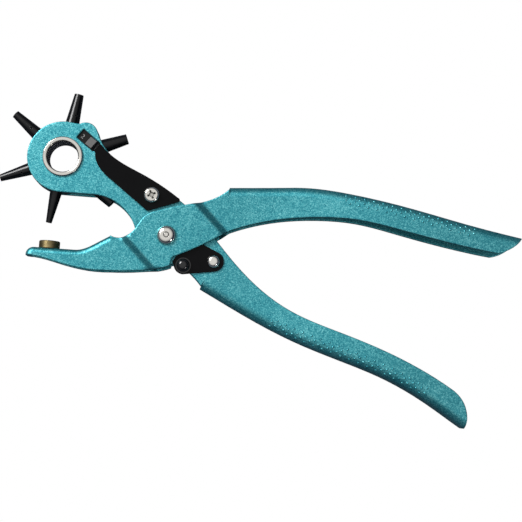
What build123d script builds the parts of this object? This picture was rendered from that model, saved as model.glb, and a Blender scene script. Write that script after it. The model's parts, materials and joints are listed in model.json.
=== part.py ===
from build123d import *
import math
import os

# Rotary hole punch: two folded sheet-steel legs crossing at one pivot. The inner leg is the
# lower handle and the two head cheeks that hold the punch turret. The outer leg is the upper
# handle and the lower jaw with the anvil, and its joint plates wrap the cheeks.
#
# Frame, in millimetres: X runs from the head to the handles, Y across them in the plane in
# which they open, and Z along the pivot. The tool lies flat. Outlines are drawn about the pivot
# with Z = 0 in the tool's middle plane, and every node is lifted by REST_HEIGHT at the end, so
# that the origin is the centre of the pivot's flat rear end, on the surface it lies on.

# ---- driving dimensions ----
SHEET = 1.8                 # thickness of the pressed legs
HEAD_HALF = 5.5             # half width over the cheeks, the jaw and the start of the handles
HANDLE_HALF = 10.5          # half width over the handle ends
WASHER = 0.9                # spacing between a cheek and a joint plate
REST_HEIGHT = 10.5          # middle plane above the surface the tool lies on
CLEAR = 0.04                # face clearance of the pivot stack
BACK_ROUND = 4.5            # outside bend radius of the handles' backs
JAW_ROUND = 2.6             # outside bend radius of the jaw

TURRET = (-47.5, 36.2)      # turret axis from the pivot
TURRET_ROUND = 16.3         # radius of the hub's corners
TURRET_FLAT = 15.72         # hub axis to the flat under each punch
HUB_HALF = 3.6              # half thickness of the hub
AXLE_R = 8.0                # outside radius of the hollow axle
AXLE_BORE_R = 6.9           # clear hole through the axle
RUNNING = 0.05              # radial clearance of turning fits
HEAD_R = 16.2               # round end of the cheeks

PUNCH_HOLES = (2.0, 2.5, 3.0, 3.5, 4.0, 4.5)
ACTIVE_ANGLE = 257.5        # direction of the punch that faces the anvil
PUNCH_STEP = 60
PUNCH_TIP = 30.4            # hub axis to the cutting edges
PUNCH_WALL = 0.35           # wall at the cutting edge
PUNCH_SHANK_R = 2.6

SLEEVE_R = 3.5              # bearing of the main joint
JOINT_SCREW_R = 2.2
JOINT_HEAD_R = 4.4

INDEX_SCREW = (-6.8, 18.4)
INDEX_SCREW_R = 2.0
ARM_THICK = 1.4
WINDOW_END = (-32.0, 40.4)  # middle of the window's end next to the arm
WINDOW_ANGLE = 139          # direction of the window from that end
WINDOW_LONG = 10.3
WINDOW_WIDE = 5.1
TONGUE_WIDE = 4.3

CATCH_RIVET = (21.3, -11.8)
CATCH_KNOB = (7.6, -13.6)
CATCH_THICK = 0.7
CATCH_RIVET_R = 1.8

ANVIL_SEAT = (-53.7, -5.4)
ANVIL_TILT = -4.0
ANVIL_R = 4.75
ANVIL_HIGH = 3.4

JOINT_INNER = HEAD_HALF + WASHER
JOINT_HALF = JOINT_INNER + SHEET
CHEEK_INNER = HEAD_HALF - SHEET


# ---- helpers ----
def curve_face(*edges):
    """Face bounded by edges that meet end to end."""
    return make_face(Curve() + list(edges))


def slab(face, low, high):
    """Face of the XY plane raised into a plate from Z = low to Z = high."""
    return extrude(Pos(0, 0, low) * face, amount=high - low, dir=(0, 0, 1))


def both_sides(part):
    """A near-side part and its mirror image on the far side."""
    return part + mirror(part, about=Plane.XY)


def round_bar(radius, low, high, at=(0, 0)):
    return Pos(at[0], at[1], low) * Cylinder(
        radius, high - low, align=(Align.CENTER, Align.CENTER, Align.MIN)
    )


def turned(points, at=(0, 0)):
    """Solid of revolution about a Z line from (radius, z) corners."""
    profile = Plane.XZ * make_face(Polyline(*points, close=True))
    return Pos(at[0], at[1], 0) * revolve(profile, Axis.Z)


def domed_head(radius, low, high, flat_radius):
    """Rivet or screw head: a short straight rim, a dome and a small flat top."""
    rim = low + 0.25 * (high - low)
    middle = (flat_radius + 0.72 * (radius - flat_radius), rim + 0.66 * (high - rim))
    profile = curve_face(
        Polyline((flat_radius, high), (0, high), (0, low), (radius, low), (radius, rim)),
        ThreePointArc((radius, rim), middle, (flat_radius, high)),
    )
    return revolve(Plane.XZ * profile, Axis.Z)


# ---- folded legs ----
def channel(outline, half_width, inward, back_round):
    """U channel: outline is its side view, half_width the plan view's edge, and inward the
    direction from the back to the open side. The hollow is the same shape, one sheet smaller."""

    def blank(inset):
        body = slab(outline, -2 * HANDLE_HALF, 2 * HANDLE_HALF) & half_width(inset)
        back = body.faces().sort_by(lambda f: back_score(f, inward))[-1]
        sides = back.edges().filter_by(lambda e: abs(e.center().Z) > 0.5 * HEAD_HALF)
        return fillet(sides, back_round - inset)

    shift = Vector(*inward).normalized() * SHEET
    return blank(0) - Pos(shift) * blank(SHEET)


def back_score(face, inward):
    """Large for a wide face that looks away from the open side."""
    outward = face.normal_at(face.center()).dot(Vector(*inward).normalized())
    return -outward * face.area


def flared_plan(start, end, angle):
    """Plan view of a handle: straight at first, then flaring to the end's full width."""
    along = Vector(1, 0, 0).rotate(Axis.Z, angle)
    across = Vector(0, 1, 0).rotate(Axis.Z, angle)
    plane = Plane(origin=(0, 0, 0), x_dir=along, z_dir=across)

    def plan(inset):
        narrow = HEAD_HALF - inset
        wide = HANDLE_HALF - inset
        swell = start + 0.72 * (end - start)
        edge = Spline((start + 8, narrow), (swell, wide), tangents=((1, 0), (1, 0)))
        lead = Polyline((start + 8, narrow), (start, narrow), (start, 0), (end, 0))
        tail = Polyline((end, 0), (end, wide), (swell, wide))
        half = curve_face(lead, edge, tail)
        whole = half + mirror(half, about=Plane.XZ)
        return extrude(plane * whole, amount=80, both=True)

    return plan


def upper_handle():
    outline = curve_face(
        Line((28.5, 2.3), (28.5, 22.6)),
        Line((28.5, 22.6), (58, 22.7)),
        Spline(
            (58, 22.7), (83, 19.7), (107, 13.9), (134, 6.1), (161.5, -1.0),
            tangents=((1, 0), (1, -0.24)),
        ),
        ThreePointArc((161.5, -1.0), (157.2, -5.3), (149.5, -8.1)),
        Spline(
            (149.5, -8.1), (133, -4.6), (105.6, 2.6), (87.8, 7.0), (69.6, 8.5), (50, 7.4),
            (28.5, 2.3),
        ),
    )
    return channel(outline, flared_plan(28.5, 165, 0), (0, -1, 0), BACK_ROUND)


def lower_handle():
    outline = curve_face(
        Line((15, -24), (25.5, -5.8)),
        Spline(
            (25.5, -5.8), (33.5, -15.4), (43.5, -25.2), (57.7, -35), (77.6, -43.6),
            (97.1, -51.7), (116.7, -61.9), (129, -70),
        ),
        Spline((129, -70), (133.4, -75.5), (134.8, -81.5), (133.8, -87), tangents=((6, -5), (-1, -3))),
        Spline(
            (133.8, -87), (117.4, -75.3), (97.6, -64), (77.7, -55.9), (57.8, -47.8),
            (37.9, -37.6), (15, -24), tangents=((-10, 7), (-10, 6)),
        ),
    )
    start = 15 * math.cos(math.radians(30)) + 24 * math.sin(math.radians(30)) - 0.01
    return channel(outline, flared_plan(start, 170, -30), (0.5, 0.866, 0), BACK_ROUND)


def jaw():
    outline = curve_face(
        Line((-25.6, -15.85), (-25.6, 0.2)),
        Spline((-25.6, 0.2), (-32.5, -3.4), (-42, -6.2), tangents=((-10, -5), (-14, 1))),
        Line((-42, -6.2), (-60.2, -4.93)),
        ThreePointArc((-60.2, -4.93), (-63, -6), (-64, -8.6)),
        Line((-64, -8.6), (-61, -8.8)),
        Spline((-61, -8.8), (-48, -12.4), (-36, -15.2), (-25.6, -15.85), tangents=((6, -1), (1, 0))),
    )

    def blank(inset):
        body = slab(outline, inset - HEAD_HALF, HEAD_HALF - inset)
        rim = body.edges().filter_by(
            lambda e: abs(e.center().Z) > 1 and on_jaw_top(e.center())
        )
        return fillet(rim, JAW_ROUND - inset)

    return blank(0) - Pos(0.7 * SHEET, -SHEET, 0) * blank(SHEET)


def on_jaw_top(point):
    """True along the jaw's top and round its nose, not along its open lower edge."""
    return point.Y > -8.0 and point.X < -25.7


def joint_plate():
    """Near wall across the joint: it steps out over the cheek and washer and back in again."""
    ramp = JOINT_HALF - HEAD_HALF
    lag = SHEET * math.tan(math.radians(22.5))
    left, right, far = -13.6, 19.0, 60
    along = Vector(1, 0, 0).rotate(Axis.Z, 42)
    bends = [
        (left - ramp, HEAD_HALF), (left, JOINT_HALF), (right, JOINT_HALF), (right + ramp, HEAD_HALF),
        (right + ramp - lag, CHEEK_INNER), (right - lag, JOINT_INNER),
        (left + lag, JOINT_INNER), (left - ramp + lag, CHEEK_INNER),
    ]
    ends_right = [(far, HEAD_HALF), (far, CHEEK_INNER)]
    ends_left = [(-far, CHEEK_INNER), (-far, HEAD_HALF)]
    section = make_face(Polyline(*bends[:4], *ends_right, *bends[4:], *ends_left, close=True))
    corners = section.vertices().filter_by(lambda v: abs(v.X) < 0.9 * far)
    section = fillet(corners, 1.2)
    plane = Plane(origin=(0, 0, 0), x_dir=along, z_dir=along.cross(Vector(0, 0, 1)))
    corrugated = extrude(plane * section, amount=80, both=True)
    outline = curve_face(
        Spline(
            (28.5, 21.5), (25.4, 19.1), (19.1, 16.2), (7.9, 13.8), (-3, 11.5), (-10.2, 8.4),
            (-14.3, 2.8), (-18.4, -0.3), (-21.6, -0.9), (-25.6, 0.2),
        ),
        Line((-25.6, 0.2), (-25.6, -15.85)),
        Spline((-25.6, -15.85), (-18, -15.95), (-10, -15.6), (-3.5, -15), (1.5, -13.7)),
        Line((1.5, -13.7), (2.2, -11.2)),
        ThreePointArc((2.2, -11.2), (2.7, -10), (4.2, -9.3)),
        Spline((4.2, -9.3), (16.9, -3.9), (28.5, 2.3)),
        Line((28.5, 2.3), (28.5, 21.5)),
    )
    return corrugated & slab(outline, 0, JOINT_HALF + 1)


def outer_leg():
    leg = both_sides(joint_plate()) + upper_handle() + jaw()
    leg -= round_bar(SLEEVE_R + RUNNING, -JOINT_HALF - 1, JOINT_HALF + 1)
    return leg - anvil_frame() * Cylinder(2.0, 12)


def cheek_outline():
    lobe = (-37.2, 46.4)
    return curve_face(
        Spline((15.7, -22.8), (13.5, -19.9), (5, -12.2)),
        ThreePointArc((5, -12.2), (-9.3, -9.3), (-13.6, -1)),
        ThreePointArc((-13.6, -1), (-20, 12.9), (-35, 19)),
        Line((-35, 19), (-48.74, 20.05)),
        ThreePointArc((-48.74, 20.05), (TURRET[0] - HEAD_R, TURRET[1]), (TURRET[0], TURRET[1] + HEAD_R)),
        Spline((TURRET[0], TURRET[1] + HEAD_R), (-39.8, 51.35), tangents=((1, 0), (1, -0.05))),
        ThreePointArc((-39.8, 51.35), (lobe[0] + 3.5, lobe[1] + 4.37), (-31.79, 47.85)),
        Spline(
            (-31.79, 47.85), (-29.5, 42.2), (-20.5, 32.7), (-10.6, 27.1), (0, 20.6), (8.2, 14.3),
            tangents=((2, -7.5), (8, -6.2)),
        ),
        ThreePointArc((8.2, 14.3), (16.2, 5.2), (22.6, -2.1)),
        Line((22.6, -2.1), (25.5, -5.8)),
        Line((25.5, -5.8), (15.7, -22.8)),
    )


def window():
    along = Vector(1, 0, 0).rotate(Axis.Z, WINDOW_ANGLE)
    centre = Vector(*WINDOW_END) + along * (WINDOW_LONG / 2)
    opening = RectangleRounded(WINDOW_LONG, WINDOW_WIDE, 0.4)
    return slab(Pos(centre.X, centre.Y) * Rot(0, 0, WINDOW_ANGLE) * opening, 0, HEAD_HALF + 1)


def inner_leg():
    cheek = slab(cheek_outline(), CHEEK_INNER, HEAD_HALF)
    leg = both_sides(cheek) + lower_handle()
    leg -= round_bar(SLEEVE_R, -HEAD_HALF - 1, HEAD_HALF + 1)
    leg -= round_bar(AXLE_R, -HEAD_HALF - 1, HEAD_HALF + 1, TURRET)
    leg -= round_bar(INDEX_SCREW_R, -HEAD_HALF - 1, HEAD_HALF + 1, INDEX_SCREW)
    leg -= round_bar(CATCH_RIVET_R, 0, HEAD_HALF + 1, CATCH_RIVET)
    return leg - window()


# ---- main joint ----
def pivot_sleeve():
    """Sleeve nut: the bearing of both legs, with the rear head that the tool lies on."""
    seat = JOINT_HALF + CLEAR
    head = mirror(domed_head(JOINT_HEAD_R, seat, REST_HEIGHT, 2.5), about=Plane.XY)
    sleeve = round_bar(SLEEVE_R, -seat, seat) - round_bar(JOINT_SCREW_R, -6, seat)
    return head + sleeve


def pivot_screw():
    seat = JOINT_HALF + CLEAR
    head = domed_head(JOINT_HEAD_R, seat, 10.7, 1.7)
    groove = round_bar(1.3, 10.45, 11) - round_bar(0.9, 10.45, 11)
    return head - groove + round_bar(JOINT_SCREW_R, -6, seat)


def pivot_washer():
    return round_bar(5.5, HEAD_HALF, JOINT_INNER - CLEAR) - round_bar(SLEEVE_R, 0, JOINT_INNER)


def opening_spring():
    """Torsion spring of round wire: a coil round the sleeve and a leg against each handle."""
    wire, coil_r, pitch = 1.2, 5.2, 1.3
    tips = ((36, 19.2), (33.5, -31.4))
    leaving = [
        math.degrees(math.atan2(tip[1], tip[0]) + side * math.acos(coil_r / math.hypot(*tip)))
        for tip, side in zip(tips, (1, -1))
    ]
    turns = 3 + (leaving[1] + 360 - leaving[0]) / 360
    high = pitch * turns
    path = Rot(0, 0, leaving[0]) * Pos(0, 0, -high / 2) * Helix(pitch, high, coil_r)
    start = Plane(origin=path @ 0, z_dir=path % 0)
    coil = sweep(start * Circle(wire / 2), path=path, is_frenet=True)
    legs = []
    for tip, angle, level in zip(tips, leaving, (-high / 2, high / 2)):
        foot = Vector(coil_r, 0, level).rotate(Axis.Z, angle)
        run = Vector(tip[0], tip[1], level) - foot
        straight = Plane(origin=foot, z_dir=run) * round_bar(wire / 2 - 0.02, 0, run.length)
        legs.append(straight)
    return coil + legs


# ---- turret ----
def punch_frame(index):
    """Plane whose Z runs outwards along one punch, from the turret axis."""
    angle = math.radians(ACTIVE_ANGLE - index * PUNCH_STEP)
    outward = (math.cos(angle), math.sin(angle), 0)
    return Plane(origin=(TURRET[0], TURRET[1], 0), x_dir=(0, 0, 1), z_dir=outward)


def turret_hub():
    flats = RegularPolygon(TURRET_FLAT, 6, major_radius=False, rotation=ACTIVE_ANGLE + 30)
    hub = slab(Circle(TURRET_ROUND) & flats, -HUB_HALF, HUB_HALF)
    hub = chamfer(hub.edges().filter_by(Plane.XY), 0.25)
    hub -= round_bar(AXLE_R + RUNNING, -HUB_HALF, HUB_HALF)
    dimple = Pos(14.2, 0, HUB_HALF + 0.8) * Sphere(1.3)
    for index in range(len(PUNCH_HOLES)):
        hub -= Rot(0, 0, 27 + index * PUNCH_STEP) * dimple
    hub = Pos(TURRET[0], TURRET[1], 0) * hub
    socket = Pos(0, 0, 10) * Cylinder(
        PUNCH_SHANK_R, 10, align=(Align.CENTER, Align.CENTER, Align.MIN)
    )
    for index in range(len(PUNCH_HOLES)):
        hub -= punch_frame(index) * socket
    return hub


def punch_tube(index):
    """Screwed-in tube: threaded shank in the hub, tapering down to its cutting edge."""
    bore = PUNCH_HOLES[index] / 2
    tip = bore + PUNCH_WALL
    base = 2.8 + 0.3 * (PUNCH_HOLES[index] - PUNCH_HOLES[0])
    relief = min(bore + 0.2, PUNCH_SHANK_R - 0.4)
    neck = TURRET_FLAT + 0.04
    outside = [(PUNCH_SHANK_R, 10.2), (PUNCH_SHANK_R, neck), (base, neck), (tip, PUNCH_TIP)]
    inside = [(bore, PUNCH_TIP), (bore, PUNCH_TIP - 5), (relief, PUNCH_TIP - 6), (relief, 10.2)]
    tube = turned(outside + inside)
    roll = (index - 2) * 25
    pin_hole = Pos(0, 0, 20.3) * Rot(0, 0, roll) * Rot(0, 90, 0) * Cylinder(0.45, 12)
    return punch_frame(index) * (tube - pin_hole)


def turret_axle():
    """Hollow rivet through cheeks and hub, its ends rolled out into rounded flanges."""
    rim = HEAD_HALF + CLEAR
    flange, throat, crest = 9.1, 4.5, 6.75
    front = [
        (AXLE_BORE_R, throat), (7.1, 6.2), (7.4, 6.65), (7.7, crest), (8.7, crest), (flange, 6.4),
        (flange, rim), (AXLE_R, rim),
    ]
    rear = [(radius, -height) for radius, height in reversed(front)]
    return turned(front + rear, TURRET)


# ---- index arm ----
def index_spring():
    """Flat arm on the front cheek; its end is bent down through the window to the hub's face."""
    low = HEAD_HALF
    high = HEAD_HALF + ARM_THICK
    along = Vector(1, 0, 0).rotate(Axis.Z, WINDOW_ANGLE)
    side = Vector(0, 1, 0).rotate(Axis.Z, WINDOW_ANGLE)
    end = Vector(*WINDOW_END) - along * 1.0
    outer = end - side * (TONGUE_WIDE / 2)
    inner = end + side * (TONGUE_WIDE / 2)
    outline = curve_face(
        Line((inner.X, inner.Y), (outer.X, outer.Y)),
        Spline((outer.X, outer.Y), (-20.2, 33), (-10.4, 27.6), (0.1, 21), (5.2, 17.1)),
        ThreePointArc((5.2, 17.1), (5.9, 16), (5, 15.2)),
        Line((5, 15.2), (-7.8, 11.35)),
        ThreePointArc((-7.8, 11.35), (-8.9, 11.4), (-10, 12.2)),
        Line((-10, 12.2), (-25.3, 25.4)),
        Spline((-25.3, 25.4), (-30.6, 30.9), (inner.X, inner.Y), tangents=((-6, 5), (0.1, 1))),
    )
    arm = slab(outline, low, high) - round_bar(INDEX_SCREW_R, low - 1, high + 1, INDEX_SCREW)
    touch = HUB_HALF + 0.1
    bend = [
        (-1.6, low), (0.3, low), (1.75, touch + 0.85), (4.6, touch), (5.7, touch),
        (5.7, touch + 0.45), (1.9, high - 1.35), (0, high), (-1.6, high),
    ]
    section = Plane(origin=Vector(*WINDOW_END), x_dir=along, z_dir=-side)
    tongue = extrude(section * make_face(Polyline(*bend, close=True)), TONGUE_WIDE / 2, both=True)
    return arm + tongue


def index_screw():
    seat = HEAD_HALF + ARM_THICK + CLEAR / 2
    crown = seat + 2.1
    head = domed_head(3.65, seat, crown, 2.6)
    wings = Box(3.9, 0.85, 2.6) + Box(0.85, 3.9, 2.6) + Box(1.7, 1.7, 2.6)
    shank = round_bar(INDEX_SCREW_R, -HEAD_HALF - 3.7, seat)
    return Pos(*INDEX_SCREW) * (head - Pos(0, 0, crown) * Rot(0, 0, 20) * wings + shank)


def neck_spacer():
    tube = round_bar(3.4, -CHEEK_INNER + 0.01, CHEEK_INNER - 0.01)
    return Pos(*INDEX_SCREW) * (tube - round_bar(INDEX_SCREW_R, -5, 5))


def index_nut():
    flats = RegularPolygon(3.5, 6, major_radius=False)
    nut = slab(flats, -HEAD_HALF - 3.2, -HEAD_HALF - 0.01) - round_bar(INDEX_SCREW_R, -12, 0)
    return Pos(*INDEX_SCREW) * nut


# ---- locking catch ----
def catch_lever():
    low = HEAD_HALF + 0.1
    outline = curve_face(
        Polyline((2.6, -11.9), (5.2, -8.2), (15.6, -3.6), (19, -5.3)),
        Spline((19, -5.3), (23.3, -7.6), tangents=((3, -1.9), (3, -1.6))),
        ThreePointArc((23.3, -7.6), (25.9, -12.6), (22.1, -16.35)),
        Line((22.1, -16.35), (7.2, -17.6)),
        ThreePointArc((7.2, -17.6), (4.9, -16.6), (3.4, -14.3)),
        Line((3.4, -14.3), (2.6, -11.9)),
    )
    lever = slab(outline, low, low + CATCH_THICK)
    lever -= round_bar(CATCH_RIVET_R + RUNNING, low - 1, low + 2, CATCH_RIVET)
    return lever - round_bar(1.5, low - 1, low + 2, CATCH_KNOB)


def catch_rivet():
    seat = HEAD_HALF + 0.1 + CATCH_THICK + CLEAR
    shank = round_bar(CATCH_RIVET_R, CHEEK_INNER - 0.01, seat)
    tail = round_bar(2.6, CHEEK_INNER - 0.6, CHEEK_INNER - 0.01)
    return Pos(*CATCH_RIVET) * (domed_head(3.0, seat, seat + 2.1, 0.9) + shank + tail)


def catch_knob():
    low = HEAD_HALF + 0.1
    seat = low + CATCH_THICK
    collar = round_bar(3.5, seat, seat + 0.8)
    dome = domed_head(3.0, seat + 0.8, seat + 3.6, 0.7)
    return Pos(*CATCH_KNOB) * (collar + dome + round_bar(1.5, low, seat))


# ---- anvil ----
def anvil_frame():
    return Pos(*ANVIL_SEAT) * Rot(0, 0, ANVIL_TILT) * Rot(-90, 0, 0)


def anvil():
    """Brass disc with a stub riveted through the jaw."""
    disc = round_bar(ANVIL_R, CLEAR / 2, ANVIL_HIGH)
    disc = chamfer(disc.edges().sort_by(Axis.Z)[-1], 0.3)
    stub = round_bar(2.0, -SHEET - 0.9, CLEAR / 2)
    return anvil_frame() * (disc + stub)


# ---- build ----
nodes = {
    "inner_leg": inner_leg(),
    "outer_leg": outer_leg(),
    "pivot_sleeve": pivot_sleeve(),
    "pivot_screw": pivot_screw(),
    "pivot_washer_front": pivot_washer(),
    "pivot_washer_rear": mirror(pivot_washer(), about=Plane.XY),
    "opening_spring": opening_spring(),
    "turret_hub": turret_hub(),
    "turret_axle": turret_axle(),
    "index_spring": index_spring(),
    "index_screw": index_screw(),
    "neck_spacer": neck_spacer(),
    "index_nut": index_nut(),
    "catch_lever": catch_lever(),
    "catch_rivet": catch_rivet(),
    "catch_knob": catch_knob(),
    "anvil": anvil(),
}
for number, hole in enumerate(PUNCH_HOLES):
    label = f"{hole:.1f}".replace(".", "_")
    nodes[f"punch_{label}"] = punch_tube(number)

os.makedirs("parts", exist_ok=True)
for name, shape in nodes.items():
    export_step(Pos(0, 0, REST_HEIGHT) * shape, f"parts/{name}.step")
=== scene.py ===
import json

import bpy
import numpy as np
from mathutils import Matrix, Vector

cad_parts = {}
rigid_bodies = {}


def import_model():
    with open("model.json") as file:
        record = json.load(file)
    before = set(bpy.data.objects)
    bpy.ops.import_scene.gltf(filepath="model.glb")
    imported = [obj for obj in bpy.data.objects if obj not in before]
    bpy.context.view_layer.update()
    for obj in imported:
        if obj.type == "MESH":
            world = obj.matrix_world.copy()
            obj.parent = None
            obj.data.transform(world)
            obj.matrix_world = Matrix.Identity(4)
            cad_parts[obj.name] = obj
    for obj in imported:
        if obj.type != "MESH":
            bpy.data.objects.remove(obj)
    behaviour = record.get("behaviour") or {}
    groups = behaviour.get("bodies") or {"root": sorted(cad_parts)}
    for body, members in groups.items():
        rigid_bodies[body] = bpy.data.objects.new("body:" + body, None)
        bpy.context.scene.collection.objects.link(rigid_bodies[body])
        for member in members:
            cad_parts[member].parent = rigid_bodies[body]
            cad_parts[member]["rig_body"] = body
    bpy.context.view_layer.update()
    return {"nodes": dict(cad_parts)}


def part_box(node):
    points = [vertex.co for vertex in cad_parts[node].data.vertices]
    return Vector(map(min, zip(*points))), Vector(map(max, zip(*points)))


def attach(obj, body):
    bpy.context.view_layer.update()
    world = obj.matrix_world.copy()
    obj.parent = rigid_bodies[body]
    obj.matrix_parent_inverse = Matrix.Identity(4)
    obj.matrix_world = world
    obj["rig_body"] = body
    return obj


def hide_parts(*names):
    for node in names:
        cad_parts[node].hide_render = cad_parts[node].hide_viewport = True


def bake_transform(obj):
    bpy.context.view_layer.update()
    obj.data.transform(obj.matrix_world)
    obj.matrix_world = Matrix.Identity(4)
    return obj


# Rotary hole punch, lying flat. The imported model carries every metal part; this script gives them
# their finishes and adds the return spring, the raised grip dots and the turret's size numbers.
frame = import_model()
nodes = frame["nodes"]
MM = 0.001
MIDDLE = 10.5 * MM          # the tool's middle plane above the table
TURRET_X, TURRET_Y = -47.5 * MM, 36.2 * MM      # the turret's axis; the main joint's is at 0, 0


# ---- camera, table and lights ----
# A copy stand: long lens almost straight above a white table, a strong soft box on the upper
# left and a small one on the lower right. None of it is part of the tool.
camera = bpy.data.objects.new("camera", bpy.data.cameras.new("camera"))
bpy.context.scene.collection.objects.link(camera)
stand = Vector((28.37, -75.01, 656.38)) * MM
gaze = (Vector((42.92, -10.87, 10.5)) * MM - stand).normalized()
right = gaze.cross(Vector((0, 1, 0))).normalized()
turn = Matrix((right, right.cross(gaze), -gaze)).transposed()
camera.matrix_world = Matrix.Translation(stand) @ turn.to_4x4()
camera.data.sensor_width = 36           # mm, as the lens's focal length is
camera.data.lens = 97.93
camera.data.clip_start, camera.data.clip_end = 0.01, 20
bpy.context.scene.camera = camera
bpy.context.scene.view_settings.view_transform = "Standard"


def colour(code):
    """sRGB hex to linear RGBA: c / 12.92 below 0.04045, else ((c + 0.055) / 1.055) ** 2.4."""
    c = np.array([int(code[i:i + 2], 16) for i in (1, 3, 5)]) / 255
    linear = np.where(c <= 0.04045, c / 12.92, ((c + 0.055) / 1.055) ** 2.4)
    return (*linear.tolist(), 1.0)


def add(tree, kind, inputs=None, **settings):
    """One shader node: settings are its own options, inputs are values or sockets to link."""
    made = tree.nodes.new("ShaderNode" + kind)
    for name, value in settings.items():
        setattr(made, name, value)
    for key, value in (inputs or {}).items():
        if isinstance(value, bpy.types.NodeSocket):
            tree.links.new(value, made.inputs[key])
        else:
            made.inputs[key].default_value = value
    return made


def new_finish(name):
    """An empty material, its node tree, and the piece's own coordinates in metres."""
    material = bpy.data.materials.new(name)
    material.use_nodes = True
    material.node_tree.nodes.clear()
    place = add(material.node_tree, "TexCoord").outputs["Object"]
    return material, material.node_tree, place


def new_piece(name, points, faces, material, smooth=True):
    """A mesh object at the origin from an array of points in metres and a list of faces."""
    mesh = bpy.data.meshes.new(name)
    mesh.from_pydata(np.asarray(points).reshape(-1, 3).tolist(), [], [list(f) for f in faces])
    mesh.polygons.foreach_set("use_smooth", [smooth] * len(mesh.polygons))
    mesh.materials.append(material)
    mesh.update()
    piece = bpy.data.objects.new(name, mesh)
    bpy.context.scene.collection.objects.link(piece)
    return piece


# White laminate: matt, a trace of mottling. It is lit from behind for the eye only, as a light
# table is, so that the tool casts no shadow on it and takes little of its glare.
laminate, tree, place = new_finish("white_laminate")
mottle = add(tree, "TexNoise", {"Vector": place, "Scale": 40.0, "Detail": 3.0})
tone = add(tree, "Mix", {0: mottle.outputs[0],
                         6: colour("#343B47"), 7: colour("#3E4551")}, data_type="RGBA")
board = add(tree, "BsdfPrincipled", {"Base Color": tone.outputs[2], "Roughness": 0.8})
lit = add(tree, "Emission", {"Color": colour("#FFFFFF"), "Strength": 1.0})
seen = add(tree, "LightPath").outputs["Is Camera Ray"]
glare = add(tree, "MixShader", {0: seen, 1: board.outputs[0], 2: lit.outputs[0]})
add(tree, "OutputMaterial", {"Surface": glare.outputs[0]})
REACH = 3.0                             # metres from the middle of the table to each side
table = new_piece(
    "table", [(-REACH, -REACH, 0), (REACH, -REACH, 0), (REACH, REACH, 0), (-REACH, REACH, 0)],
    [(0, 1, 2, 3)], laminate, smooth=False,
)

# The room: white overhead, falling off to dark blue walls, darkest on the near side, and pale
# again along the horizon, where the table runs out of the light.
world = bpy.data.worlds.new("studio")
bpy.context.scene.world = world
world.use_nodes = True
tree = world.node_tree
tree.nodes.clear()
heading = add(tree, "TexCoord").outputs["Generated"]
lean = add(tree, "VectorMath", {0: heading, 1: (-0.22, 0.14, 0.96)}, operation="DOT_PRODUCT")
rise = add(tree, "MapRange", {"Value": lean.outputs["Value"], "From Min": 0.34, "From Max": 1.0},
           interpolation_type="SMOOTHSTEP")
sky = add(tree, "Mix", {0: rise.outputs[0],
                        6: colour("#0C1E36"), 7: colour("#F0F1F2")}, data_type="RGBA")
height = add(tree, "VectorMath", {0: heading, 1: (0.0, 0.0, 1.0)}, operation="DOT_PRODUCT")
low = add(tree, "MapRange", {"Value": height.outputs["Value"], "From Min": 0.24, "From Max": 0.06})
room = add(tree, "Mix", {0: low.outputs[0],
                         6: sky.outputs[2], 7: colour("#8C96A2")}, data_type="RGBA")
seen = add(tree, "LightPath").outputs["Is Camera Ray"]
shown = add(tree, "Mix", {0: seen, 6: room.outputs[2], 7: colour("#F4F5F6")}, data_type="RGBA")
glow = add(tree, "Background", {"Color": shown.outputs[2], "Strength": 1.0})
add(tree, "OutputWorld", {"Surface": glow.outputs[0]})

MIDDLE_OF_TOOL = Vector((0.04, -0.01, 0.0))
for name, at, size, power in (
    ("upper_left_box", (-0.86, 0.84, 1.08), 0.66, 30.5),
    ("lower_right_box", (0.80, -0.88, 0.80), 0.20, 2.6),
):
    lamp = bpy.data.lights.new(name, "AREA")
    lamp.size, lamp.energy = size, power
    light = bpy.data.objects.new(name, lamp)
    light.location = at
    light.rotation_euler = (MIDDLE_OF_TOOL - Vector(at)).to_track_quat("-Z", "Y").to_euler()
    bpy.context.scene.collection.objects.link(light)


# ---- the two legs ----
# Deep-drawn 1.8 mm steel sheet, each leg folded into a channel, shot-blasted and then coated
# with a stoved metallic enamel in teal. The flake gives a fine glitter over an orange-peel skin.
enamel, tree, place = new_finish("teal_metallic_enamel")
FLAKE = 0.46 * MM           # real flake is far finer: drawn as coarse as it needs to show
skin = add(tree, "TexNoise", {"Vector": place, "Scale": 1 / FLAKE, "Detail": 3.0, "Roughness": 0.7})
flake = add(tree, "TexVoronoi", {"Vector": place, "Scale": 0.9 / FLAKE})
glint = add(tree, "SeparateColor", {0: flake.outputs["Color"]})
cloud = add(tree, "TexNoise", {"Vector": place, "Scale": 1 / (11 * MM), "Detail": 2.0})
both = add(tree, "Math", {0: glint.outputs[0], 1: 0.20, 2: skin.outputs[0]},
           operation="MULTIPLY_ADD")
level = add(tree, "Math", {0: cloud.outputs[0], 1: 0.18, 2: both.outputs[0]},
            operation="MULTIPLY_ADD")
dark_half = add(tree, "MapRange", {"Value": level.outputs[0], "From Min": 0.46, "From Max": 0.80})
light_half = add(tree, "MapRange", {"Value": level.outputs[0], "From Min": 0.70, "From Max": 0.98})
base = add(tree, "Mix", {0: dark_half.outputs[0],
                         6: colour("#0E6474"), 7: colour("#3B9AA2")}, data_type="RGBA")
coat = add(tree, "Mix", {0: light_half.outputs[0],
                         6: base.outputs[2], 7: colour("#7FC8CB")}, data_type="RGBA")
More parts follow.
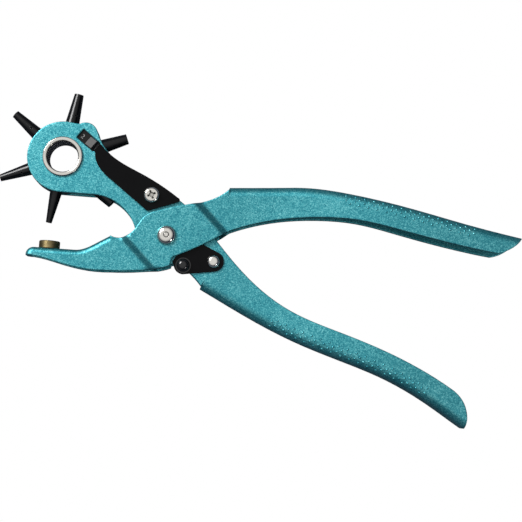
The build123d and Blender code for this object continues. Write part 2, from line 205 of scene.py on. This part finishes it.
# Edges are rounded by 0.8 mm, and by 2.4 mm at the joggles of the joint plates. These are two
# creases square to a line at 42 degrees, each 17.45 mm from a point 2.7 mm along that line.
slant = (np.cos(np.radians(42)), np.sin(np.radians(42)), 0.0)
run_out = add(tree, "VectorMath", {0: place, 1: slant}, operation="DOT_PRODUCT")
middle_out = add(tree, "Math", {0: run_out.outputs["Value"], 1: 2.7 * MM}, operation="SUBTRACT")
to_side = add(tree, "Math", {0: middle_out.outputs[0]}, operation="ABSOLUTE")
past_crease = add(tree, "Math", {0: to_side.outputs[0], 1: 17.45 * MM}, operation="SUBTRACT")
to_crease = add(tree, "Math", {0: past_crease.outputs[0]}, operation="ABSOLUTE")
to_pivot = add(tree, "VectorMath", {0: place, 1: (0.0, 0.0, MIDDLE)}, operation="DISTANCE")
past_plate = add(tree, "Math", {0: to_pivot.outputs["Value"], 1: 24 * MM}, operation="SUBTRACT")
off_joggle = add(tree, "Math", {0: to_crease.outputs[0], 1: past_plate.outputs[0]},
                 operation="MAXIMUM")
bend = add(tree, "MapRange", {"Value": off_joggle.outputs[0], "From Min": 2.2 * MM,
                              "From Max": 3.4 * MM, "To Min": 2.4 * MM, "To Max": 0.8 * MM})
soft_edge = add(tree, "Bevel", {"Radius": bend.outputs[0]}, samples=8)
peel = add(tree, "Bump", {"Strength": 0.35, "Distance": 0.05 * MM, "Height": skin.outputs[0],
                          "Normal": soft_edge.outputs[0]})
gloss = add(tree, "MapRange", {"Value": level.outputs[0], "From Min": 0.45, "From Max": 1.0,
                               "To Min": 0.52, "To Max": 0.38})
paint = add(tree, "BsdfPrincipled", {
    "Base Color": coat.outputs[2], "Metallic": 0.86, "Roughness": gloss.outputs[0],
    "Coat Weight": 0.25, "Coat Roughness": 0.24, "Normal": peel.outputs[0],
    "Coat Normal": soft_edge.outputs[0],
})
add(tree, "OutputMaterial", {"Surface": paint.outputs[0]})


def give(material, *names):
    """Puts a finish on CAD nodes."""
    for name in names:
        for held in nodes[name].material_slots:
            held.material = material


give(enamel, "inner_leg", "outer_leg")


# ---- grip dots ----
# Rows of low round pips pressed out of the handles' backs so that they don't slip in the hand,
# under the same enamel. Each row is staggered by half a step against the next.
PIP_R, PIP_HIGH = 0.60 * MM, 0.42 * MM
PIP_SUNK = 0.04 * MM        # how far a pip's foot is let into the handle
PIP_STEP, ROW_STEP, ROWS = 4.3 * MM, 1.3 * MM, 4
FIRST_ROW = 3.8 * MM        # round the bend from where the flat of the back ends
CORNER = 4.5 * MM           # outside bend radius of the handle's back
START_HALF, END_HALF = 5.5 * MM, 10.5 * MM      # half widths of a handle where it flares


def grip_dots(name, leg, back, span, inward_y, flare):
    """Caps h (1 - r^2 / a^2) on a polar grid. They stand at even steps along the back's curve,
    a polynomial y(x), and at even steps round both of its bends, arcs of the corner radius. The
    handle flares by the smooth step 3t^2 - 2t^3 over flare[1] mm, from flare[0] mm before the
    span."""
    fit = np.polyfit(*np.array(back).T, 4)
    x = np.linspace(span[0], span[1], 400)
    line = np.stack([x, np.polyval(fit, x)], 1) * MM
    run = np.concatenate([[0], np.cumsum(np.linalg.norm(np.diff(line, axis=0), axis=1))])
    slope = np.gradient(line, axis=0)
    slope /= np.linalg.norm(slope, axis=1)[:, None]
    inner = np.stack([-slope[:, 1], slope[:, 0]], 1) * inward_y
    rise = np.clip((run + flare[0] * MM) / (flare[1] * MM), 0, 1)
    half = START_HALF + (END_HALF - START_HALF) * rise * rise * (3 - 2 * rise)

    spots = []
    for row, hand in np.ndindex(ROWS, 2):
        along = np.arange(0.5 * (row % 2) * PIP_STEP, run[-1], PIP_STEP)
        edge = np.interp(along, run, half) - CORNER
        across = (edge + FIRST_ROW + row * ROW_STEP) * (1 - 2 * hand)
        spots.append(np.stack([along, across, edge], 1))
    along, across, edge = np.concatenate(spots).T
    bend = np.clip((np.abs(across) - edge) / CORNER, 0, np.pi / 2)
    wall = np.clip(np.abs(across) - edge - CORNER * np.pi / 2, 0, None)
    foot = np.stack([np.interp(along, run, line[:, k]) for k in (0, 1)], 1)
    into = np.stack([np.interp(along, run, inner[:, k]) for k in (0, 1)], 1)
    centre = foot + into * (CORNER + wall)[:, None]
    flat_z = np.sign(across) * np.minimum(np.abs(across), edge)
    aim = np.column_stack([-into * np.cos(bend)[:, None], np.sign(across) * np.sin(bend)])
    above = 3 * MM          # the rays that find the surface start this far outside it
    start = np.column_stack([centre, MIDDLE + flat_z]) + aim * (CORNER + above)

    ring = np.array([0, 0.38, 0.72, 1.0]) * PIP_R
    angle = np.arange(8) * np.pi / 4
    cap_r, cap_a = np.meshgrid(ring[1:], angle, indexing="ij")
    cap_h = PIP_HIGH * (1 - (cap_r / PIP_R) ** 2) - PIP_SUNK
    cap = np.stack([cap_r * np.cos(cap_a), cap_r * np.sin(cap_a), cap_h], -1).reshape(-1, 3)
    cap = np.vstack([[0, 0, PIP_HIGH - PIP_SUNK], cap])
    ids = 1 + np.arange(24).reshape(3, 8)
    after = np.roll(ids, -1, axis=1)
    quads = np.stack([ids[:-1], ids[1:], after[1:], after[:-1]], -1).reshape(-1, 4)
    fan = np.stack([0 * ids[0], ids[0], after[0]], -1)

    hits = [leg.ray_cast(Vector(p), Vector(-a), distance=8 * MM) for p, a in zip(start, aim)]
    found = np.array([(*h[1], *h[2]) for h in hits if h[0]])
    spot, normal = found[:, :3], found[:, 3:]
    u = np.cross(normal, (0.31, 0.95, 0.05))
    u /= np.linalg.norm(u, axis=1)[:, None]
    axes = np.stack([u, np.cross(normal, u), normal], 1)
    points = spot[:, None, :] + np.einsum("vk,nkc->nvc", cap, axes)
    offset = (np.arange(len(spot)) * len(cap))[:, None, None]
    faces = (quads[None] + offset).reshape(-1, 4).tolist()
    faces += (fan[None] + offset).reshape(-1, 3).tolist()
    piece = new_piece(name, points, faces, enamel)
    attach(piece, leg["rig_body"])


bpy.context.view_layer.update()
grip_dots("grip_dots_upper", nodes["outer_leg"],
          [(58, 22.7), (83, 19.7), (107, 13.9), (134, 6.1), (161.5, -1.0)], (82, 142), -1, (46, 90))
grip_dots("grip_dots_lower", nodes["inner_leg"],
          [(133.8, -87), (117.4, -75.3), (97.6, -64), (77.7, -55.9), (57.8, -47.8), (37.9, -37.6)],
          (46, 116), 1, (25, 96))


# ---- main joint ----
# Cold-headed steel screw, bright nickel plated, in a sleeve nut; zinc-plated washers space the
# legs. Nickel is a warm, slightly hazed mirror, and its recesses are darkened with painted shade.
nickel, tree, place = new_finish("bright_nickel_plate")
blotch = add(tree, "TexNoise", {"Vector": place, "Scale": 1 / (1.6 * MM), "Detail": 4.0})
drift = add(tree, "TexNoise", {"Vector": place, "Scale": 1 / (7 * MM), "Detail": 2.0})
tint = add(tree, "Mix", {0: drift.outputs[0],
                         6: colour("#C8C5BE"), 7: colour("#EFEBE2")}, data_type="RGBA")
haze = add(tree, "MapRange", {"Value": blotch.outputs[0], "From Min": 0.3, "From Max": 0.7,
                              "To Min": 0.10, "To Max": 0.19})
soft_edge = add(tree, "Bevel", {"Radius": 0.25 * MM}, samples=4)
ripple = add(tree, "Bump", {"Strength": 0.04, "Distance": 0.03 * MM, "Height": blotch.outputs[0],
                            "Normal": soft_edge.outputs[0]})
# Painted shade: an ambient-occlusion mask darkens the nickel's colour towards #2A2826 in recesses
# and crevices.
nook = add(tree, "AmbientOcclusion", {"Distance": 1.2 * MM}, samples=6)
recess_painted_shade = add(tree, "MapRange", {"Value": nook.outputs["AO"], "From Min": 0.5, "From Max": 0.96})
painted_shade_tint = add(tree, "Mix", {0: recess_painted_shade.outputs[0],
                           6: colour("#2A2826"), 7: tint.outputs[2]}, data_type="RGBA")
plate = add(tree, "BsdfPrincipled", {
    "Base Color": painted_shade_tint.outputs[2], "Metallic": 1.0, "Roughness": haze.outputs[0],
    "Normal": ripple.outputs[0],
})
add(tree, "OutputMaterial", {"Surface": plate.outputs[0]})
give(nickel, "pivot_screw", "pivot_sleeve", "turret_axle", "index_screw", "catch_rivet")

# Zinc-plated plain steel: greyer and duller, with a crystalline bloom about a millimetre across.
zinc, tree, place = new_finish("zinc_plated_steel")
bloom = add(tree, "TexVoronoi", {"Vector": place, "Scale": 1 / (0.9 * MM)})
grey = add(tree, "SeparateColor", {0: bloom.outputs["Color"]})
tint = add(tree, "Mix", {0: grey.outputs[1],
                         6: colour("#8D9093"), 7: colour("#B4B6B7")}, data_type="RGBA")
dull = add(tree, "MapRange", {"Value": grey.outputs[0], "To Min": 0.28, "To Max": 0.42})
soft_edge = add(tree, "Bevel", {"Radius": 0.2 * MM}, samples=4)
plate = add(tree, "BsdfPrincipled", {
    "Base Color": tint.outputs[2], "Metallic": 1.0, "Roughness": dull.outputs[0],
    "Normal": soft_edge.outputs[0],
})
add(tree, "OutputMaterial", {"Surface": plate.outputs[0]})
give(zinc, "pivot_washer_front", "pivot_washer_rear", "neck_spacer", "index_nut")


# ---- opening spring ----
# Torsion spring coiled from 1.2 mm drawn spring wire round the joint's sleeve. Its legs press the
# handles apart. Drawn wire is grey with lengthwise die lines.
wire_steel, tree, _ = new_finish("drawn_spring_wire")
strip = add(tree, "UVMap", uv_map="wire").outputs[0]
die = add(tree, "Mapping", {"Vector": strip, "Scale": (26.0, 1.5, 1.0)})
lines = add(tree, "TexNoise", {"Vector": die.outputs[0], "Scale": 1.0, "Detail": 3.0})
tint = add(tree, "Mix", {0: lines.outputs[0],
                         6: colour("#5F6264"), 7: colour("#A6A8A9")}, data_type="RGBA")
scratch = add(tree, "Bump", {"Strength": 0.25, "Distance": 0.02 * MM, "Height": lines.outputs[0]})
drawn = add(tree, "BsdfPrincipled", {
    "Base Color": tint.outputs[2], "Metallic": 1.0, "Roughness": 0.33, "Normal": scratch.outputs[0],
})
add(tree, "OutputMaterial", {"Surface": drawn.outputs[0]})

WIRE_R, COIL_R, PITCH, TURNS = 0.6, 5.2, 1.3, 4         # the spring is worked out in mm
tips = np.array([(36, 19.2), (33.5, -31.4)])
lean = np.arctan2(tips[:, 1], tips[:, 0]) + (1, -1) * np.arccos(COIL_R / np.hypot(*tips.T))
sweep = lean[1] + 2 * np.pi * TURNS - lean[0]
part = np.linspace(0, 1, 150)
angle = lean[0] + sweep * part
level = PITCH * sweep / (2 * np.pi) * (part - 0.5)
coil = np.stack([COIL_R * np.cos(angle), COIL_R * np.sin(angle), level], 1)
share = np.linspace(1, 0, 24)[:-1, None]
first = coil[0] + share * ((*tips[0], level[0]) - coil[0])
last = coil[-1] + share[::-1] * ((*tips[1], level[-1]) - coil[-1])
path = np.vstack([first, coil, last])


def wire_tube(path, radius, sides):
    """Circle of the wire carried along the path: p + r (cos v * across + sin v * upright), where
    across is the tangent crossed with Z. The ends draw in to a rounded nose and a centre point."""
    tangent = np.gradient(path, axis=0)
    tangent /= np.linalg.norm(tangent, axis=1)[:, None]
    across = np.cross(tangent, (0, 0, 1))
    across /= np.linalg.norm(across, axis=1)[:, None]
    upright = np.cross(across, tangent)
    nose = radius * 0.3
    stops = np.vstack([path[:1] - nose * tangent[:1], path, path[-1:] + nose * tangent[-1:]])
    across, upright = (np.vstack([a[:1], a, a[-1:]]) for a in (across, upright))
    girth = np.full(len(stops), radius)
    girth[[0, -1]] = 0.6 * radius
    v = np.arange(sides) * 2 * np.pi / sides
    ring = np.cos(v)[None, :, None] * across[:, None] + np.sin(v)[None, :, None] * upright[:, None]
    body = (stops[:, None] + girth[:, None, None] * ring).reshape(-1, 3)
    points = np.vstack([body, stops[0], stops[-1]])
    ids = np.arange(len(stops) * sides).reshape(-1, sides)
    after = np.roll(ids, -1, axis=1)
    quads = np.stack([ids[:-1], ids[1:], after[1:], after[:-1]], -1).reshape(-1, 4)
    start = np.stack([0 * ids[0] + len(body), ids[0], after[0]], -1)
    end = np.stack([0 * ids[-1] + len(body) + 1, after[-1], ids[-1]], -1)
    length = np.concatenate([[0], np.cumsum(np.linalg.norm(np.diff(stops, axis=0), axis=1))])
    return points, quads.tolist() + start.tolist() + end.tolist(), length


SIDES = 12
points, faces, length = wire_tube(path, WIRE_R, SIDES)
spring = new_piece("return_spring", (points + (0, 0, MIDDLE / MM)) * MM, faces, wire_steel)
corner_ids = np.zeros(len(spring.data.loops), int)
spring.data.loops.foreach_get("vertex_index", corner_ids)
round_at = np.append((np.arange(len(points) - 2) % SIDES) / SIDES, [0.5, 0.5])
long_at = np.append(np.repeat(length, SIDES), [length[0], length[-1]])
unwrapped = spring.data.uv_layers.new(name="wire")
unwrapped.data.foreach_set("uv", np.stack([round_at, long_at], 1)[corner_ids].ravel())
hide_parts("opening_spring")
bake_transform(spring)


# ---- turret ----
# Steel hub and six screwed-in punch tubes, turned on a lathe, hardened and blackened in hot salts.
# Black oxide is a thin satin film: fine turning rings show through it, and its edges are painted
# pale grey, partly as rubbed wear and partly as a painted highlight.
oxide, tree, place = new_finish("black_oxide_steel")
centred = add(tree, "Mapping", {"Vector": place, "Location": (-TURRET_X, -TURRET_Y, 0.0)})
rings = add(tree, "TexWave", {"Vector": centred.outputs[0], "Scale": 0.16 / MM, "Distortion": 1.2,
                              "Detail": 2.0, "Detail Scale": 2.0},
            wave_type="RINGS", rings_direction="Z")
salt = add(tree, "TexNoise", {"Vector": place, "Scale": 1 / (2.2 * MM), "Detail": 4.0})
tint = add(tree, "Mix", {0: salt.outputs[0],
                         6: colour("#040405"), 7: colour("#0B0B0C")}, data_type="RGBA")
soft_edge = add(tree, "Bevel", {"Radius": 0.18 * MM}, samples=4)
# Edge wear and painted highlight: near every edge the colour is mixed up to 40% towards pale grey
# #6B6C6E.
facing = add(tree, "NewGeometry").outputs["Normal"]
flat = add(tree, "VectorMath", {0: soft_edge.outputs[0], 1: facing}, operation="DOT_PRODUCT")
edge_wear_and_highlight = add(tree, "MapRange", {"Value": flat.outputs["Value"], "From Min": 0.99, "From Max": 0.85,
                             "To Max": 0.4})
worn_and_highlit = add(tree, "Mix", {0: edge_wear_and_highlight.outputs[0],
                         6: tint.outputs[2], 7: colour("#6B6C6E")}, data_type="RGBA")
satin = add(tree, "MapRange", {"Value": salt.outputs[0], "To Min": 0.13, "To Max": 0.24})
marks = add(tree, "Bump", {"Strength": 0.22, "Distance": 0.03 * MM, "Height": rings.outputs[1],
                           "Normal": soft_edge.outputs[0]})
black = add(tree, "BsdfPrincipled", {
    "Base Color": worn_and_highlit.outputs[2], "Roughness": satin.outputs[0], "Specular IOR Level": 0.22,
    "IOR": 1.6, "Normal": marks.outputs[0],
})
add(tree, "OutputMaterial", {"Surface": black.outputs[0]})
punches = [name for name in nodes if name.startswith("punch_")]
give(oxide, "turret_hub", *punches)

# Size numbers: hole diameters in millimetres stamped in the hub's front face and filled with
# pale paint. Each stands a sixth of a turn on, where the window shows it for the working punch.
fill, tree, place = new_finish("pale_filler_paint")
chalk = add(tree, "TexNoise", {"Vector": place, "Scale": 1 / (0.35 * MM), "Detail": 2.0})
tint = add(tree, "Mix", {0: chalk.outputs[0],
                         6: colour("#77777A"), 7: colour("#B4B3AF")}, data_type="RGBA")
matt = add(tree, "BsdfPrincipled", {"Base Color": tint.outputs[2], "Roughness": 0.6})
add(tree, "OutputMaterial", {"Surface": matt.outputs[0]})

hub_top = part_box("turret_hub")[1].z
NUMBERS_R = 13.1 * MM                   # from the turret's axis to the middle of each number
points, faces, count = [], [], 0
for step, size in enumerate(("2", "2.5", "3", "3.5", "4", "4.5")):
    letters = bpy.data.curves.new("size", "FONT")
    letters.body, letters.size, letters.extrude = size, 3.0 * MM, 0.02 * MM
    letters.align_x, letters.align_y = "CENTER", "CENTER"
    holder = bpy.data.objects.new("size", letters)
    mesh = bpy.data.meshes.new_from_object(holder)
    flat_points = np.zeros(len(mesh.vertices) * 3)
    mesh.vertices.foreach_get("co", flat_points)
    a = np.radians(47.5 - 60 * step)
    out, round_about = np.array([np.cos(a), np.sin(a), 0]), np.array([np.sin(a), -np.cos(a), 0])
    x, y, z = flat_points.reshape(-1, 3).T[:, :, None]
    spot = np.array([TURRET_X, TURRET_Y, hub_top]) + NUMBERS_R * out
    points.append(spot + x * round_about + y * out + z * np.array([0, 0, 1]))
    faces += [[count + i for i in p.vertices] for p in mesh.polygons]
    count += len(mesh.vertices)
    bpy.data.objects.remove(holder)
    bpy.data.meshes.remove(mesh)
numbers = new_piece("size_numbers", np.vstack(points), faces, fill, smooth=False)
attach(numbers, "turret")


# ---- index arm and catch ----
# Spring-steel index arm and sheet-steel catch, pressed flat and stoved with gloss black enamel.
# The enamel is smooth and deep, with a few dust nibs and thin bright edges.
black_enamel, tree, place = new_finish("gloss_black_enamel")
nibs = add(tree, "TexVoronoi", {"Vector": place, "Scale": 1 / (3.2 * MM)})
nib = add(tree, "MapRange", {"Value": nibs.outputs["Distance"], "From Max": 0.1,
                             "To Min": 1.0, "To Max": 0.0})
peel = add(tree, "TexNoise", {"Vector": place, "Scale": 1 / (1.8 * MM), "Detail": 2.0})
height = add(tree, "Math", {0: nib.outputs[0], 1: 0.6, 2: peel.outputs[0]},
             operation="MULTIPLY_ADD")
tint = add(tree, "Mix", {0: peel.outputs[0],
                         6: colour("#030304"), 7: colour("#070708")}, data_type="RGBA")
soft_edge = add(tree, "Bevel", {"Radius": 0.3 * MM}, samples=4)
flow = add(tree, "Bump", {"Strength": 0.2, "Distance": 0.04 * MM, "Height": height.outputs[0],
                          "Normal": soft_edge.outputs[0]})
lacquer = add(tree, "BsdfPrincipled", {
    "Base Color": tint.outputs[2], "Roughness": 0.16, "Specular IOR Level": 0.09,
    "Normal": flow.outputs[0],
})
add(tree, "OutputMaterial", {"Surface": lacquer.outputs[0]})
give(black_enamel, "index_spring", "catch_lever")

# The catch's knob is turned steel, polished before it was blackened, so it mirrors both lights.
polished, tree, place = new_finish("polished_black_oxide")
film = add(tree, "TexNoise", {"Vector": place, "Scale": 1 / (1.5 * MM), "Detail": 3.0})
tint = add(tree, "Mix", {0: film.outputs[0],
                         6: colour("#060607"), 7: colour("#141416")}, data_type="RGBA")
sheen = add(tree, "MapRange", {"Value": film.outputs[0], "To Min": 0.08, "To Max": 0.2})
knob = add(tree, "BsdfPrincipled", {"Base Color": tint.outputs[2], "Roughness": sheen.outputs[0]})
add(tree, "OutputMaterial", {"Surface": knob.outputs[0]})
give(polished, "catch_knob")


# ---- anvil ----
# Turned brass disc pressed into the jaw, so that the cutting edges meet something softer than
# themselves. Its face has turning rings and its rim has tarnished to a brownish gold.
brass, tree, place = new_finish("turned_brass")
low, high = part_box("anvil")
middle = (low + high) / 2
centred = add(tree, "Mapping", {"Vector": place, "Location": tuple(-middle)})
rings = add(tree, "TexWave", {"Vector": centred.outputs[0], "Scale": 0.22 / MM, "Distortion": 0.8,
                              "Detail": 2.0}, wave_type="RINGS", rings_direction="Y")
tarnish = add(tree, "TexNoise", {"Vector": place, "Scale": 1 / (2.5 * MM), "Detail": 5.0,
                                 "Roughness": 0.65})
tint = add(tree, "Mix", {0: tarnish.outputs[0],
                         6: colour("#5A4C30"), 7: colour("#A5946A")}, data_type="RGBA")
dull = add(tree, "MapRange", {"Value": tarnish.outputs[0], "To Min": 0.28, "To Max": 0.5})
soft_edge = add(tree, "Bevel", {"Radius": 0.25 * MM}, samples=4)
marks = add(tree, "Bump", {"Strength": 0.2, "Distance": 0.03 * MM, "Height": rings.outputs[1],
                           "Normal": soft_edge.outputs[0]})
disc = add(tree, "BsdfPrincipled", {
    "Base Color": tint.outputs[2], "Metallic": 1.0, "Roughness": dull.outputs[0],
    "Normal": marks.outputs[0],
})
add(tree, "OutputMaterial", {"Surface": disc.outputs[0]})
give(brass, "anvil")
